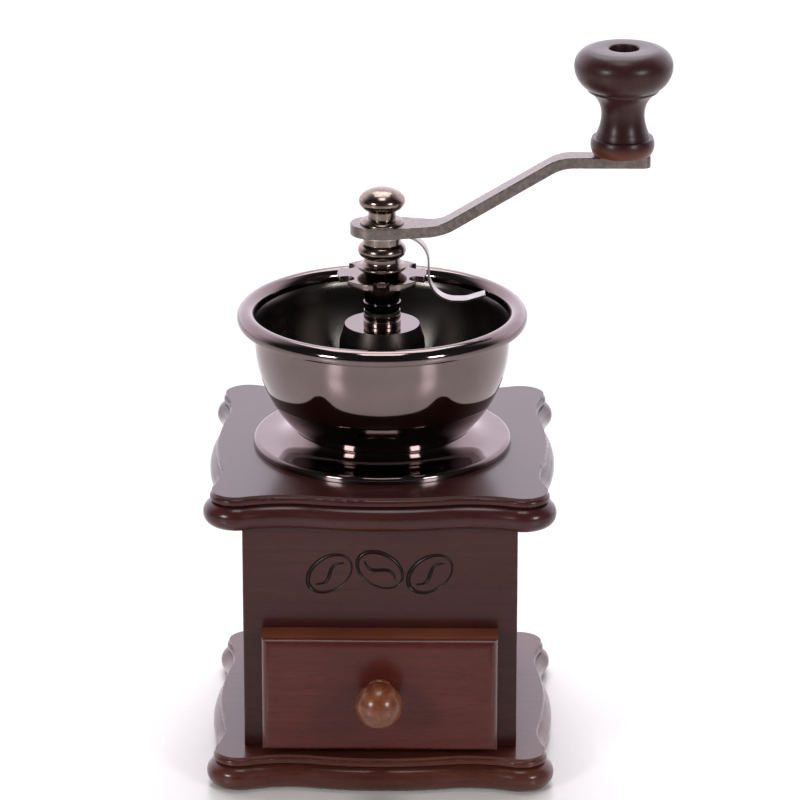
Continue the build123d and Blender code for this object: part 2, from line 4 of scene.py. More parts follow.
import bpy
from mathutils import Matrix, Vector

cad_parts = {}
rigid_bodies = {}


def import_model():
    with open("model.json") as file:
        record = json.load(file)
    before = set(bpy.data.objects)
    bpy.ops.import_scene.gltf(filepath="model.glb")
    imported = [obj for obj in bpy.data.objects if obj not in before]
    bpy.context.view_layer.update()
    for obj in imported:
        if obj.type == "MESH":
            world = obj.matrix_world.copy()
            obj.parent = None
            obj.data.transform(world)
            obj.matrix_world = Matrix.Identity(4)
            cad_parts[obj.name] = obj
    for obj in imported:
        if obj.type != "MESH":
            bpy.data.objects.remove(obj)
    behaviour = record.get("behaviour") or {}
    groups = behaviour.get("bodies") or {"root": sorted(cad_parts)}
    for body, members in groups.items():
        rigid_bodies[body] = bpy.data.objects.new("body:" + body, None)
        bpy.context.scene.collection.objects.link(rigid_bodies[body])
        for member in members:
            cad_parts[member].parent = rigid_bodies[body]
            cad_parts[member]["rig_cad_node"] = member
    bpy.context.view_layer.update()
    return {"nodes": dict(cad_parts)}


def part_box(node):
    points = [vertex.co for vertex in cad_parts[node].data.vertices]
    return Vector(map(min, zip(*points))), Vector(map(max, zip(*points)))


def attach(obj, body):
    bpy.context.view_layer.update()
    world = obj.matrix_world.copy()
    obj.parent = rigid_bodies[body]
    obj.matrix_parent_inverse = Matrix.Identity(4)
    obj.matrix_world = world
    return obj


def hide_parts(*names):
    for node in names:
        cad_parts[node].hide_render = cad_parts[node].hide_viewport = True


# A hand-cranked box mill for coffee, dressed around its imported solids.
# Lengths are written in millimetres and turned to metres with MM.
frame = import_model()
MM = 0.001
# Points nearer to each other than this are merged
WELD = 0.002
# Edges sharper than this many degrees stay sharp
SHARP = 35

# Levels up the mill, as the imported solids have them
BOX_FRONT = -48.0
DECK = 110.5
RIM = 157.3
CROWN = 154.5
SPOOL = 173.38
CAP = 191.58
KNOB = 217.24
KNOB_TOP = 255.14
ARM_REACH = 83.7
SHAFT_BORE = 4.06
SHEET = 1.0


# Modelling steps

def fresh():
    """Back to object mode with nothing selected."""
    active = bpy.context.view_layer.objects.active
    if active and active.mode != "OBJECT":
        bpy.ops.object.mode_set(mode="OBJECT")
    bpy.ops.object.select_all(action="DESELECT")


def only(obj):
    """Selects one piece and makes it the active one."""
    fresh()
    obj.select_set(True)
    bpy.context.view_layer.objects.active = obj


def bow(start, through, end, steps=10):
    """Points of a round stretch of a half section, after its start, through a middle point."""
    (ax, ay), (bx, by), (cx, cy) = start, through, end
    d = 2 * (ax * (by - cy) + bx * (cy - ay) + cx * (ay - by))
    a2, b2, c2 = ax * ax + ay * ay, bx * bx + by * by, cx * cx + cy * cy
    ox = (a2 * (by - cy) + b2 * (cy - ay) + c2 * (ay - by)) / d
    oy = (a2 * (cx - bx) + b2 * (ax - cx) + c2 * (bx - ax)) / d
    first, middle, last = (atan2(y - oy, x - ox) for x, y in (start, through, end))
    sweep, part = (last - first) % (2 * pi), (middle - first) % (2 * pi)
    if part > sweep:
        sweep -= 2 * pi
    size = hypot(ax - ox, ay - oy)
    turns = [first + sweep * (i + 1) / steps for i in range(steps)]
    return [(ox + size * cos(t), oy + size * sin(t)) for t in turns]


def swell(upright, end):
    """Middle point of a round stretch that leaves its first point straight up or down."""
    run, rise = end[0] - upright[0], end[1] - upright[1]
    radius = (run * run + rise * rise) / (2 * run)
    far = abs(radius - run) if abs(radius) > abs(run) else -abs(radius - run)
    half = atan2(abs(rise), far) / 2
    lift = abs(radius) * sin(half)
    return (upright[0] + radius * (1 - cos(half)), upright[1] + (lift if rise > 0 else -lift))


def line(places):
    """A line of edges drawn from one point to the next, left in edit mode with all of it selected."""
    fresh()
    bpy.ops.mesh.primitive_plane_add(size=MM)
    bpy.ops.object.mode_set(mode="EDIT")
    bpy.ops.mesh.merge(type="CENTER")
    bpy.ops.transform.translate(value=places[0])
    for here, there in zip(places, places[1:]):
        bpy.ops.mesh.extrude_region_move(TRANSFORM_OT_translate={"value": there - here})
    bpy.ops.mesh.select_all(action="SELECT")
    bpy.ops.mesh.remove_doubles(threshold=WELD * MM)
    return bpy.context.object


def turned(section, centre=(0, 0, 0), axis=(0, 0, 1), steps=128):
    """A turned piece: a line along its half section (radius, height), spun about its axis."""
    side, middle, along = Vector((1, 0, 0)), Vector(centre), Vector(axis)
    obj = line([(middle + side * r + along * h) * MM for r, h in section])
    bpy.ops.mesh.spin(steps=steps, angle=2 * pi, center=middle * MM, axis=along)
    bpy.ops.mesh.select_all(action="SELECT")
    bpy.ops.mesh.remove_doubles(threshold=WELD * MM)
    bpy.ops.mesh.normals_make_consistent(inside=False)
    bpy.ops.object.mode_set(mode="OBJECT")
    return obj


def stroke(places, widths):
    """A round line of changing width, made to be pressed into a face."""
    obj = line([Vector(place) * MM for place in places])
    bpy.ops.object.mode_set(mode="OBJECT")
    skin = obj.modifiers.new("skin", "SKIN")
    for joint, width in zip(obj.data.skin_vertices[0].data, widths):
        joint.radius = (width / 2 * MM, width / 2 * MM)
    bpy.ops.object.modifier_apply(modifier=skin.name)
    return applied(obj, "SUBSURF", levels=1, render_levels=1)


def block(size, at):
    """A plain block, used as a cutting tool."""
    fresh()
    bpy.ops.mesh.primitive_cube_add(size=1)
    obj = bpy.context.object
    bpy.ops.object.mode_set(mode="EDIT")
    bpy.ops.transform.resize(value=Vector(size) * MM)
    bpy.ops.transform.translate(value=Vector(at) * MM)
    bpy.ops.object.mode_set(mode="OBJECT")
    return obj


def shifted(obj, way):
    """A copy of a piece with its own mesh, moved inside its mesh."""
    only(obj)
    bpy.ops.object.duplicate()
    bpy.ops.object.mode_set(mode="EDIT")
    bpy.ops.mesh.select_all(action="SELECT")
    bpy.ops.transform.translate(value=Vector(way) * MM)
    bpy.ops.object.mode_set(mode="OBJECT")
    return bpy.context.object


def joined(pieces):
    """Several pieces made one."""
    only(pieces[0])
    for piece in pieces:
        piece.select_set(True)
    bpy.ops.object.join()
    return bpy.context.object


def copied(node):
    """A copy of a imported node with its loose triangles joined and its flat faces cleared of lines."""
    only(frame["nodes"][node])
    bpy.ops.object.duplicate()
    obj = bpy.context.object
    obj.parent = None
    del obj["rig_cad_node"]
    bpy.ops.mesh.customdata_custom_splitnormals_clear()
    bpy.ops.object.mode_set(mode="EDIT")
    bpy.ops.mesh.select_all(action="SELECT")
    bpy.ops.mesh.remove_doubles(threshold=WELD * MM)
    bpy.ops.mesh.dissolve_limited(angle_limit=radians(0.3))
    bpy.ops.object.mode_set(mode="OBJECT")
    obj.data.materials.clear()
    return obj


def applied(obj, kind, **settings):
    """Adds one modifier to a piece and applies it."""
    only(obj)
    modifier = obj.modifiers.new(kind.lower(), kind)
    for name, value in settings.items():
        setattr(modifier, name, value)
    bpy.ops.object.modifier_apply(modifier=modifier.name)
    return obj


def eased(obj, width, crease=SHARP):
    """Rounds a piece's sharp edges a little, as wear and plating do."""
    only(obj)
    bpy.ops.object.shade_smooth_by_angle(angle=radians(crease))
    return applied(obj, "BEVEL", width=width * MM, segments=3, limit_method="ANGLE",
                   angle_limit=radians(crease), harden_normals=True, use_clamp_overlap=True)


def cut(obj, tool):
    """Cuts a tool's shape out of a piece and puts the tool away."""
    applied(obj, "BOOLEAN", object=tool, operation="DIFFERENCE", solver="EXACT")
    bpy.data.objects.remove(tool)
    return obj


def done(obj, name, body, finish, node=None, ease=0.0, crease=SHARP):
    """Eases and smooths a piece, and gives it its name, finish and body; it hides the imported node that
    it replaces.
    """
    if ease:
        eased(obj, ease, crease)
    else:
        only(obj)
        bpy.ops.object.shade_smooth_by_angle(angle=radians(crease))
    obj.name = obj.data.name = name
    if not obj.data.materials:
        obj.data.materials.append(finish)
    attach(obj, body)
    if node:
        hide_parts(node)
    return obj


# Finishes

def tone(code):
    """A colour from its sRGB hex code, in linear light."""
    parts = [int(code[i:i + 2], 16) / 255 for i in (1, 3, 5)]
    return (*[p / 12.92 if p <= 0.04045 else ((p + 0.055) / 1.055) ** 2.4 for p in parts], 1)


def add(finish, kind, inputs=(), **settings):
    """Adds a node to a finish: its settings, then its sockets' values or links."""
    made = finish.node_tree.nodes.new(kind)
    for name, value in settings.items():
        setattr(made, name, value)
    for name, value in dict(inputs).items():
        if isinstance(value, bpy.types.NodeSocket):
            finish.node_tree.links.new(value, made.inputs[name])
        else:
            made.inputs[name].default_value = value
    return made


def begin(name, **fixed):
    """An empty finish with its shader, its fixed sockets and the piece's own coordinates."""
    finish = bpy.data.materials.new(name)
    finish.use_nodes = True
    finish.node_tree.nodes.clear()
    shader = add(finish, "ShaderNodeBsdfPrincipled")
    for socket, value in fixed.items():
        shader.inputs[socket.replace("_", " ")].default_value = value
    add(finish, "ShaderNodeOutputMaterial", {"Surface": shader.outputs[0]})
    place = add(finish, "ShaderNodeTexCoord").outputs["Object"]
    return finish, shader, place


def stops(ramp, *pairs):
    """Sets a colour ramp's stops from pairs of place and colour."""
    made = ramp.color_ramp.elements
    while len(made) < len(pairs):
        made.new(0.5)
    for stop, (where, colour) in zip(made, pairs):
        stop.position = where
        stop.color = colour


def wood(name, grain, tones, rough, pore, wear_and_light=None, **fixed):
    """Close-grained hardwood: long soft streaks, short fine pores and a slow drift of the stain.
    wear_and_light is a height where the stain is untouched, one where it is fully replaced, and the
    colour laid there: rubbed-off wear on the grip, painted light on the drawer's lit top edge."""
    finish, shader, place = begin(name, **fixed)
    link = finish.node_tree.links.new
    # streaks about 60 mm long and 2 mm wide; pores 4 mm by 0.35 mm, a little coarser than
    # beech really has, so that they still show; the stain drifts over about 45 mm
    reach = [1 / (60 * MM) if axis == grain else 1 / (2.0 * MM) for axis in "xyz"]
    short = [1 / (4 * MM) if axis == grain else 1 / (0.35 * MM) for axis in "xyz"]
    long_place = add(finish, "ShaderNodeMapping", {"Vector": place, "Scale": reach})
    short_place = add(finish, "ShaderNodeMapping", {"Vector": place, "Scale": short})
    streak = add(finish, "ShaderNodeTexNoise",
                 {"Vector": long_place.outputs[0], "Scale": 1.0, "Detail": 4.0, "Distortion": 0.5})
    pores = add(finish, "ShaderNodeTexNoise",
                {"Vector": short_place.outputs[0], "Scale": 1.0, "Detail": 2.0})
    drift = add(finish, "ShaderNodeTexNoise",
                {"Vector": place, "Scale": 1 / (45 * MM), "Detail": 2.0})
    blend = add(finish, "ShaderNodeMix", {0: 0.5, 2: streak.outputs[0], 3: drift.outputs[0]})
    ramp = add(finish, "ShaderNodeValToRGB", {0: blend.outputs[0]})
    stops(ramp, *zip((0.34, 0.5, 0.66), map(tone, tones)))
    pit = add(finish, "ShaderNodeMapRange",
              {"Value": pores.outputs[0], "From Min": 0.34, "From Max": 0.48, "To Min": 1 - pore})
    shown = add(finish, "ShaderNodeMix", {0: 1.0, 6: ramp.outputs[0], 7: pit.outputs[0]},
                data_type="RGBA", blend_type="MULTIPLY").outputs[2]
    if wear_and_light:
        # kept, rubbed and under serve real wear and painted light alike: on the drawer's top edge the
        # laid colour is painted light from above
        kept, rubbed, under = wear_and_light
        height = add(finish, "ShaderNodeSeparateXYZ", {0: place})
        wear_light_ramp = add(finish, "ShaderNodeMapRange",
                  {"Value": height.outputs[2], "From Min": kept * MM, "From Max": rubbed * MM})
        patchy = add(finish, "ShaderNodeMath", {0: wear_light_ramp.outputs[0], 1: drift.outputs[0]},
                     operation="MULTIPLY")
        shown = add(finish, "ShaderNodeMix", {0: patchy.outputs[0], 6: shown, 7: tone(under)},
                    data_type="RGBA").outputs[2]
    sheen = add(finish, "ShaderNodeMapRange",
                {"Value": streak.outputs[0], "To Min": rough - 0.06, "To Max": rough + 0.06})
    dents = add(finish, "ShaderNodeBump",
                {"Height": pit.outputs[0], "Strength": 0.12, "Distance": 0.05 * MM})
    link(shown, shader.inputs["Base Color"])
    link(sheen.outputs[0], shader.inputs["Roughness"])
    link(dents.outputs[0], shader.inputs["Normal"])
    return finish


def metal(name, dark, light, rough, spread, mottle, grit, depth):
    """A metal whose shade and gloss wander over its mottle size, with a fine grit in its surface.
    Its mottle, grit and depth of grit are in millimetres."""
    finish, shader, place = begin(name, Metallic=1.0)
    link = finish.node_tree.links.new
    cloud = add(finish, "ShaderNodeTexNoise",
                {"Vector": place, "Scale": 1 / (mottle * MM), "Detail": 4.0})
    fine = add(finish, "ShaderNodeTexNoise",
               {"Vector": place, "Scale": 1 / (grit * MM), "Detail": 3.0})
    ramp = add(finish, "ShaderNodeValToRGB", {0: cloud.outputs[0]})
    stops(ramp, (0.35, tone(dark)), (0.65, tone(light)))
    gloss = add(finish, "ShaderNodeMapRange",
                {"Value": cloud.outputs[0], "To Min": rough - spread, "To Max": rough + spread})
    grain = add(finish, "ShaderNodeBump",
                {"Height": fine.outputs[0], "Strength": 0.3, "Distance": depth * MM})
    link(ramp.outputs[0], shader.inputs["Base Color"])
    link(gloss.outputs[0], shader.inputs["Roughness"])
    link(grain.outputs[0], shader.inputs["Normal"])
    return finish


# Sprayed lacquer over a stain: a thin even gloss that only shows bright when seen at a slant
LACQUER = {"Specular_IOR_Level": 0.1, "Coat_Weight": 1.0, "Coat_IOR": 1.37, "Coat_Roughness": 0.21}
# Wiped and rubbed lacquer: the same film, dulled by hand
RUBBED = {"Specular_IOR_Level": 0.1, "Coat_Weight": 1.0, "Coat_IOR": 1.3, "Coat_Roughness": 0.3}

# Beech under a red-brown stain and sprayed lacquer: dark, warm, pale sky lying on its flat tops
STAIN = ("#381613", "#3f1916", "#471e1a")
beech_along = wood("stained_beech_grain_x", "x", STAIN, 0.5, 0.25, **LACQUER)
beech_deep = wood("stained_beech_grain_y", "y", STAIN, 0.5, 0.25, **LACQUER)
# The lower board is given a lighter, more orange brown under the same lacquer
beech_base = wood("stained_beech_base", "x", ("#49211a", "#552920", "#603227"), 0.5, 0.25, **LACQUER)
# The same beech in the pressed lines: near black and less glossy, partly from stain pooled in them and
# partly as painted shade in the grooves
beech_pressed = wood("stained_beech_pressed_with_painted_shade", "x", ("#1d100f", "#231312", "#2a1715"), 0.6, 0.2, **RUBBED)
# The drawer's beech took the stain redder; the orange band along its top edge is painted light, standing
# for the light that falls on that edge from above
beech_drawer = wood("stained_beech_drawer", "x", ("#4b1b16", "#531f1a", "#5c2520"), 0.5, 0.25,
                    wear_and_light=(57.6, 58.1, "#a86346"), **LACQUER)
# Beech left bare inside the drawer: pale, dry, no gloss
beech_bare = wood("bare_beech_planed", "y", ("#a9825a", "#bd9669", "#cda97c"), 0.7, 0.3)
# Beech dipped in amber lacquer on the small ball: warm orange-brown with a wet highlight
beech_amber = wood("amber_lacquered_beech", "y", ("#64301a", "#7a4025", "#915633"), 0.4, 0.3,
                   Specular_IOR_Level=0.2, Coat_Weight=1.0, Coat_IOR=1.45, Coat_Roughness=0.23)
# Beech stained near black and hand-rubbed on the grip: satin, its foot rubbed through the stain to
# red-brown by wear
beech_black = wood("rubbed_dark_beech", "z", ("#2c1213", "#351617", "#3f1c1b"), 0.5, 0.3,
                   wear_and_light=(KNOB + 5.0, KNOB + 1.0, "#8a451f"), **RUBBED)
# Steel under polished black nickel: a dark mirror with a faint warm cast
black_nickel = metal("polished_black_nickel", "#726564", "#7a6d6c", 0.07, 0.02, 18, 0.8, 0.002)
# The bowl's inside, plated but not buffed: blurred reflections, and a darker tone than the outside that
# is painted shade in the bowl's hollow
unbuffed_shaded_nickel = metal("unbuffed_black_nickel_with_painted_shade", "#5e5a57", "#696461", 0.28, 0.04, 14, 0.8, 0.004)
# Black nickel as it comes off the lathe, on the small turned parts: softer and browner
turned_nickel = metal("lathe_turned_black_nickel", "#766760", "#8d7e77", 0.19, 0.05, 2.0, 0.5, 0.012)
# The dome's sides as cast under the same plating: nearly black, no clear reflections
cast_nickel = metal("as_cast_black_nickel", "#2f2b29", "#3b3634", 0.36, 0.06, 4, 1.0, 0.03)
# Pressed steel under tumbled antique nickel: soft grey, cloudy, grainy on sheared edges
antique_nickel = metal("tumbled_antique_nickel", "#6d6360", "#857b76", 0.27, 0.08, 1.6, 0.35, 0.05)
# Spring steel strip, bright rolled: pale and clean
bright_steel = metal("rolled_spring_steel", "#989391", "#aca7a5", 0.27, 0.05, 3, 0.5, 0.01)
# Sand-cast iron: dull dark grey and pitted
grey_iron = metal("sand_cast_iron", "#4a4846", "#62605d", 0.55, 0.1, 6, 1.2, 0.1)
# Hardened cut steel of the burrs: grey with machined gloss
burr_steel = metal("hardened_cut_steel", "#6b6967", "#838180", 0.33, 0.06, 5, 0.7, 0.02)


# Boards: the lower one has four sunk screws that hold the box's sides

SCREWS = [(x, y) for x in (-44, 44) for y in (-27, 27)]
SINK_R, HOLE_R, HOLE_DEEP = 3.4, 1.7, 6.2
SHANK_R, SHANK_END, HEAD_FACE = 1.55, 6.0, 0.3
CROSS_LONG, CROSS_WIDE, CROSS_DEEP = 4.4, 0.9, 2.2
sink = turned([(0, -1), (SINK_R, -1), (SINK_R, 0), (HOLE_R, 2.2), (HOLE_R, HOLE_DEEP), (0, HOLE_DEEP)],
              steps=48)
sinks = joined([shifted(sink, (x, y, 0)) for x, y in SCREWS])
bpy.data.objects.remove(sink)
done(copied("top_board"), "moulded_top", "case", beech_along, "top_board", crease=40)
done(cut(copied("base_board"), sinks), "moulded_base", "case", beech_base,
     "base_board", crease=40)
screw = turned([(0, HEAD_FACE), (2.8, HEAD_FACE), (3.2, 0.55), (SHANK_R, 2.15), (SHANK_R, SHANK_END),
                (0, SHANK_END)], steps=48)
screw = cut(screw, block((CROSS_LONG, CROSS_WIDE, CROSS_DEEP), (0, 0, HEAD_FACE)))
screw = cut(screw, block((CROSS_WIDE, CROSS_LONG, CROSS_DEEP), (0, 0, HEAD_FACE)))
for x, y in SCREWS:
    done(shifted(screw, (x, y, 0)), f"base_screw_{'l' if x < 0 else 'r'}{'f' if y < 0 else 'b'}",
         "case", bright_steel, ease=0.1)
bpy.data.objects.remove(screw)


# Box: the front has three coffee beans pressed into it, each with its middle and its tilt in degrees

BEANS = {(-17.5, -0.6): 38, (0, 0.8): -32, (17.5, -0.6): 38}
BEAN_Z = 79.0
BEAN_LONG, BEAN_WIDE = 8.6, 6.0
CREASE_LONG, CREASE_WAVE = 6.4, 1.5


def bean(middle, tilt):
    """The pressed lines of one bean: an oval outline that swells on one side, and a wavy crease."""
    turn = radians(tilt)

    def on_face(along, across):
        x = middle[0] + along * cos(turn) - across * sin(turn)
        z = middle[1] + along * sin(turn) + across * cos(turn)
        return (x, BOX_FRONT, BEAN_Z + z)

    rounds = [2 * pi * i / 40 for i in range(41)]
    outline = [on_face(BEAN_LONG * cos(t), BEAN_WIDE * sin(t)) for t in rounds]
    outline_widths = [1.25 + 0.5 * sin(t - 0.6) for t in rounds]
    reach = [-CREASE_LONG + 2 * CREASE_LONG * i / 24 for i in range(25)]
    wave = [on_face(a, CREASE_WAVE * sin(pi * a / CREASE_LONG)) for a in reach]
    wave_widths = [0.5 + 0.9 * cos(pi * a / 13.6) for a in reach]
    return [stroke(outline, outline_widths), stroke(wave, wave_widths)]


press = joined([mark for middle, tilt in BEANS.items() for mark in bean(middle, tilt)])
press.data.materials.append(beech_along)
press.data.materials.append(beech_pressed)
# The pressed lines take the darker finish: pooled stain and painted shade in the grooves
for face in press.data.polygons:
    face.material_index = 1
front = eased(copied("front_panel"), 0.5)
front.data.materials.append(beech_along)
front.data.materials.append(beech_pressed)
cut(front, press)
only(front)
bpy.ops.object.shade_smooth_by_angle(angle=radians(SHARP))
applied(front, "WEIGHTED_NORMAL", keep_sharp=True, weight=100)
done(front, "front_side", "case", beech_along, "front_panel")
for node, finish in {"back_panel": beech_along, "left_panel": beech_deep,
                     "right_panel": beech_deep}.items():
    done(copied(node), node.replace("panel", "side"), "case", finish, node, ease=0.5)


# Drawer

done(copied("drawer_front"), "drawer_face", "drawer", beech_drawer, "drawer_front",
     crease=40)
for node in ("drawer_left_side", "drawer_right_side", "drawer_back", "drawer_bottom"):
    done(copied(node), node + "_eased", "drawer", beech_bare, node, ease=0.3)

PULL_R, PULL_REACH, PULL_NECK, PULL_FOOT = 8.2, 11.0, 3.6, 5.2
PEG_R, PEG_DEEP = 3, 6.9
PULL_RISE = 1.5
neck_h = PULL_REACH - sqrt(PULL_R**2 - PULL_NECK**2)
pull = [(0, -PEG_DEEP), (PEG_R, -PEG_DEEP), (PEG_R, 0), (PULL_FOOT, 0), (PULL_FOOT, 0.6)]
pull += bow((PULL_FOOT, 0.6), (4.5, 1.35), (PULL_NECK, 1.7), 5)
pull += [(PULL_NECK, neck_h)]
pull += bow((PULL_NECK, neck_h), (PULL_R, PULL_REACH), (0, PULL_REACH + PULL_R), 36)
low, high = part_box("drawer_front")
pull_seat = (0, low.y / MM, (low.z + high.z) / 2 / MM + PULL_RISE)
done(turned(pull, pull_seat, (0, -1, 0), 96), "ball_pull", "drawer", beech_amber,
     "drawer_knob", crease=50)


# Bowl, flange and dome

WALL_R, WALL_ROUND, LIP = 45.1, 45.0, 38.9
RIM_R, RIM_TUBE = 51.3, 3.3
FLOOR_HOLE = 15.5


def wall(height, inset=0.0):
    """Radius and level of the bowl's round wall at a height over the deck."""
    radius = WALL_R - WALL_ROUND + sqrt((WALL_ROUND - inset) ** 2 - (LIP - height) ** 2)
    return (radius, DECK + height)


def on_rim(angle):
    """A point on the rolled rim, by its angle from straight out."""
    turn = radians(angle)
    return (RIM_R - RIM_TUBE + RIM_TUBE * cos(turn), RIM + RIM_TUBE * sin(turn))


lip, throat = (WALL_R, DECK + LIP), (WALL_R - SHEET, DECK + LIP + 3.6)
under, tuck = on_rim(-32), on_rim(200)
# Under the rim the wall runs straight up, then turns out to the rim's overhanging lower edge
straight = (WALL_R + 0.2, under[1] - 1.0)
inside = (WALL_R - SHEET, DECK + LIP)
bowl = [(FLOOR_HOLE, DECK), wall(0)]
bowl += bow(wall(0), wall(LIP / 2), lip, 36)
bowl += [straight] + bow(straight, (WALL_R + 0.5, under[1] - 0.3), (WALL_R + 1.2, under[1]), 6)
bowl += [under] + bow(under, on_rim(75), tuck, 36)
bowl += bow(tuck, (WALL_R - SHEET + 0.2, (throat[1] + tuck[1]) / 2), throat, 8)
bowl += [inside]
bowl += bow(inside, wall((SHEET + LIP) / 2, SHEET), wall(SHEET, SHEET), 36)
bowl += [(FLOOR_HOLE, DECK + SHEET), (FLOOR_HOLE, DECK)]
spun = done(turned(bowl, steps=160), "spun_bowl", "case", black_nickel, "hopper_bowl",
            ease=0.2)
spun.data.materials.append(unbuffed_shaded_nickel)
# The unbuffed inside, darker as painted shade: below the rim, the faces that look at the axis and the
# floor
for face in spun.data.polygons:
    inwards = face.normal.x * face.center.x + face.normal.y * face.center.y < 0
    if face.center.z < tuck[1] * MM and (inwards or face.normal.z > 0.9):
        face.material_index = 1

BRIM, FLANGE_R, ROLL, COLLAR_RISE = DECK + 2.6, 45.8, 1.4, 6.5
COLLAR = DECK + COLLAR_RISE
# The flange stops a hair short of the bowl
hug_top = wall(COLLAR_RISE)[0] + 0.03
roll = (FLANGE_R - ROLL, BRIM)
turn_down = (FLANGE_R - ROLL + ROLL * cos(pi / 4), BRIM - ROLL + ROLL * sin(pi / 4))
# The upper face is one dished sweep, steep at the bowl and flat at the brim
sweep = [step / 24 for step in range(25)]
dish = [(hug_top + (roll[0] - hug_top) * t, BRIM + (COLLAR - BRIM) * (1 - t) ** 4) for t in sweep]
flange = dish + bow(roll, turn_down, (FLANGE_R, BRIM - ROLL), 8)
flange += [(FLANGE_R, DECK), (FLANGE_R - SHEET, DECK), (FLANGE_R - SHEET, BRIM - SHEET)]
flange += [(radius - SHEET / 2, height - SHEET) for radius, height in reversed(dish)]
flange += [(hug_top, COLLAR)]
done(turned(flange, steps=160), "foot_flange", "case", black_nickel, "bowl_flange",
     ease=0.2)
dome = done(copied("burr_dome"), "cast_dome", "case", cast_nickel, "burr_dome", ease=0.35,
            crease=25)
dome.data.materials.append(black_nickel)
# Only the flat top of the crown is polished
for face in dome.data.polygons:
    if face.center.z > (CROWN - 0.4) * MM:
        face.material_index = 1

BUSH_TOP, BUSH_FOOT, BUSH_R, STEM_R = CROWN + 3.9, CROWN - 3, 6.6, 5.2
bush = [(SHAFT_BORE, BUSH_FOOT), (STEM_R, BUSH_FOOT), (STEM_R, CROWN), (BUSH_R, CROWN)]
bush += [(BUSH_R, CROWN + 1.5)]
bush += bow((BUSH_R, CROWN + 1.5), (6.1, CROWN + 1.95), (BUSH_R, CROWN + 2.4), 6)
bush += [(BUSH_R, BUSH_TOP), (SHAFT_BORE, BUSH_TOP), (SHAFT_BORE, BUSH_FOOT)]
done(turned(bush, steps=96), "grooved_bush", "case", turned_nickel, "shaft_bush",
     ease=0.2)


# Column and crank

done(copied("adjusting_wheel"), "star_wheel", "adjuster", black_nickel,
     "adjusting_wheel", ease=0.3)

SPOOL_BORE, SPOOL_TOP = 4.03, SPOOL + 13.6
spool = [(SPOOL_BORE, SPOOL), (6.2, SPOOL), (8.5, SPOOL + 1.85)]
spool += bow((8.5, SPOOL + 1.85), (8.8, SPOOL + 2.45), (8.5, SPOOL + 2.95), 8)
spool += bow((8.5, SPOOL + 2.95), (6.8, SPOOL + 3.55), (6.3, SPOOL + 4.6), 8)
spool += [(6.3, SPOOL + 5.9)]
spool += bow((6.3, SPOOL + 5.9), (8.45, SPOOL + 8.4), (6.6, SPOOL + 10.9), 18)
spool += [(6.6, SPOOL_TOP), (SPOOL_BORE, SPOOL_TOP), (SPOOL_BORE, SPOOL)]
done(turned(spool, steps=96), "turned_spool", "crank", turned_nickel,
     "spacer_collar", ease=0.15)

done(copied("lock_spring"), "click_strip", "crank", bright_steel, "lock_spring",
     ease=0.12)
done(copied("crank_arm"), "bent_arm", "crank", antique_nickel, "crank_arm", ease=0.4)

HEAD, HEAD_R, CAP_NECK, CAP_NECK_R = 8.2, 8.1, CAP + 4.5, 4.8
CAP_BORE, CAP_BLIND, CAP_FOOT = 2.93, CAP + 8.03, 7.7
first = acos(CAP_NECK_R / HEAD_R)
half_head = HEAD / (1 + sin(first))
head_z = CAP_NECK + HEAD - half_head
turns = [-first + (first + pi / 2) * i / 28 for i in range(1, 28)]
cap = [(CAP_BORE, CAP), (CAP_FOOT, CAP), (CAP_FOOT, CAP + 0.5)]
cap += bow((CAP_FOOT, CAP + 0.5), (7.1, CAP + 1.15), (CAP_NECK_R, CAP + 1.7), 8)
cap += [(CAP_NECK_R, CAP_NECK)]
cap += [(HEAD_R * cos(t), head_z + half_head * sin(t)) for t in turns]
cap += [(0, head_z + half_head), (0, CAP_BLIND), (CAP_BORE, CAP_BLIND), (CAP_BORE, CAP)]
done(turned(cap, steps=96), "mushroom_nut", "crank", turned_nickel, "cap_nut", ease=0.12)


# Grip with its washer and its slotted spindle

foot, neck, waist = (10.6, KNOB + 6.0), (9.0, KNOB + 7.7), (7.55, KNOB + 14.5)
cove, bead = (11.6, KNOB + 22.3), (12.6, KNOB + 23.6)
belly, shoulder = (17.2, KNOB_TOP - 6.2), (11.0, KNOB_TOP)
GRIP_BORE, GRIP_FOOT, WELL_R, WELL = 3.06, 10.0, 5.2, KNOB_TOP - 6.5
grip = [(GRIP_BORE, KNOB), (GRIP_FOOT, KNOB)]
grip += bow((GRIP_FOOT, KNOB), (11.15, KNOB + 3.0), foot, 16)
grip += [(9.3, KNOB + 6.0), neck]
grip += bow(neck, swell(waist, neck), waist, 14)
grip += bow(waist, swell(waist, cove), cove, 14)
grip += bow(cove, swell(bead, cove), bead, 8)
grip += bow(bead, swell(belly, bead), belly, 20)
grip += bow(belly, swell(belly, shoulder), shoulder, 18)
grip += [(5.8, KNOB_TOP)]
grip += bow((5.8, KNOB_TOP), (5.38, KNOB_TOP - 0.18), (WELL_R, KNOB_TOP - 0.6), 5)
grip += [(WELL_R, WELL), (GRIP_BORE, WELL), (GRIP_BORE, KNOB)]
done(turned(grip, (ARM_REACH, 0, 0)), "turned_grip", "grip", beech_black, "crank_knob",
     ease=0.12)
done(copied("knob_washer"), "grip_washer", "crank", bright_steel, "knob_washer",
     ease=0.15)
spindle_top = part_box("knob_spindle")[1].z / MM
slot_cutter = block((12, 1.2, 2), (ARM_REACH, 0, spindle_top))
done(cut(copied("knob_spindle"), slot_cutter), "slotted_spindle",
     "crank", bright_steel, "knob_spindle", ease=0.15)


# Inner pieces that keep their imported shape

kept = {
    beech_bare: ("runner_left", "runner_right"),
    grey_iron: ("burr_housing",),
    burr_steel: ("outer_burr", "inner_burr"),
    bright_steel: ("burr_nut", "burr_spring", "drive_shaft", "thrust_washer"),
}
for finish, nodes in kept.items():
    for node in nodes:
        for slot in frame["nodes"][node].material_slots:
            slot.material = finish


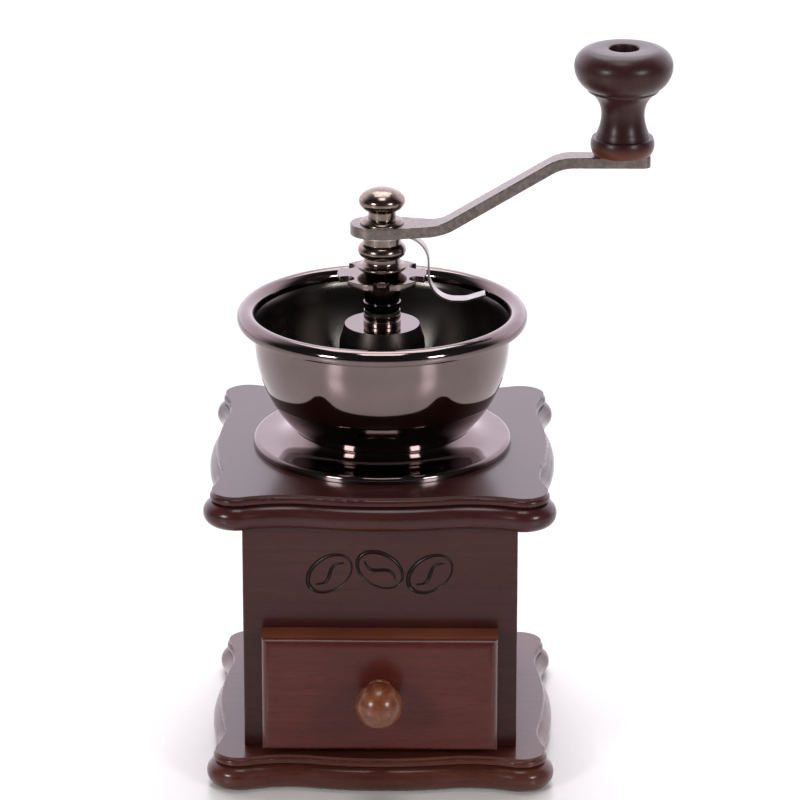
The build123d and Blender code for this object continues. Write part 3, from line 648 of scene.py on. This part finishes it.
# Floor of white acrylic sheet: even, pale and softly glossy, so the mill has a faint reflection
acrylic, shader, place = begin("white_acrylic_sheet", Roughness=0.6, Coat_Weight=1.0, Coat_Roughness=0.28)
haze = add(acrylic, "ShaderNodeTexNoise", {"Vector": place, "Scale": 1 / (2 * MM), "Detail": 2.0})
white = add(acrylic, "ShaderNodeValToRGB", {0: haze.outputs[0]})
stops(white, (0.3, tone("#faf9f5")), (0.7, tone("#fdfcf8")))
acrylic.node_tree.links.new(white.outputs[0], shader.inputs["Base Color"])
fresh()
bpy.ops.mesh.primitive_plane_add(size=8)
floor = bpy.context.object
floor.name = "sheet_floor"
floor.data.materials.append(acrylic)


# Light: a dim room that is bright low down behind the mill, two front boxes, one overhead and a
# wide one high behind; places and sizes are in metres, powers in watts

world = bpy.data.worlds.new("soft_room")
bpy.context.scene.world = world
world.use_nodes = True
sky = world.node_tree.nodes["Background"]
sky.inputs["Color"].default_value = tone("#f5edfa")
heading = add(world, "ShaderNodeSeparateXYZ", {0: add(world, "ShaderNodeTexCoord").outputs["Generated"]})
behind = add(world, "ShaderNodeMapRange",
             {"Value": heading.outputs[1], "From Min": 0.0, "From Max": 0.6},
             interpolation_type="SMOOTHSTEP")
low_down = add(world, "ShaderNodeMapRange",
               {"Value": heading.outputs[2], "From Min": 0.92, "From Max": 0.55},
               interpolation_type="SMOOTHSTEP")
glow = add(world, "ShaderNodeMath", {0: behind.outputs[0], 1: low_down.outputs[0]}, operation="MULTIPLY")
strength = add(world, "ShaderNodeMapRange", {"Value": glow.outputs[0], "To Min": 0.055, "To Max": 1.95})
world.node_tree.links.new(strength.outputs[0], sky.inputs["Strength"])


def softbox(name, at, aim, size, power):
    """A square soft light at a place, aimed at a point."""
    light = bpy.data.lights.new(name, "AREA")
    light.shape = "SQUARE"
    light.size = size
    light.energy = power
    lamp = bpy.data.objects.new(name, light)
    bpy.context.scene.collection.objects.link(lamp)
    lamp.location = at
    lamp.rotation_euler = (Vector(aim) - Vector(at)).to_track_quat("-Z", "Y").to_euler()


softbox("left_front_box", (-0.95, -1.05, 0.62), (0, 0, 0.12), 0.3, 7.7)
softbox("right_front_box", (1.0, -1.05, 0.62), (0, 0, 0.12), 0.3, 6.6)
softbox("high_back_box", (0.0, 0.75, 1.6), (0, 0, 0.1), 1.0, 13)
softbox("overhead_box", (0.0, -0.2, 1.6), (0, -0.05, 0.1), 0.5, 4.3)


# Camera at the photograph's height, distance and turn

camera_data = bpy.data.cameras.new("camera")
camera_data.lens = 205.28
camera_data.sensor_width = 36
camera_data.clip_end = 20
camera = bpy.data.objects.new("camera", camera_data)
bpy.context.scene.collection.objects.link(camera)
camera.location = Vector((28.0, -1524.8, 672.4)) * MM
aim = Vector((6.3, 0, 125.6)) * MM
camera.rotation_euler = (aim - camera.location).to_track_quat("-Z", "Y").to_euler()
bpy.context.scene.camera = camera
bpy.context.scene.view_settings.view_transform = "Standard"
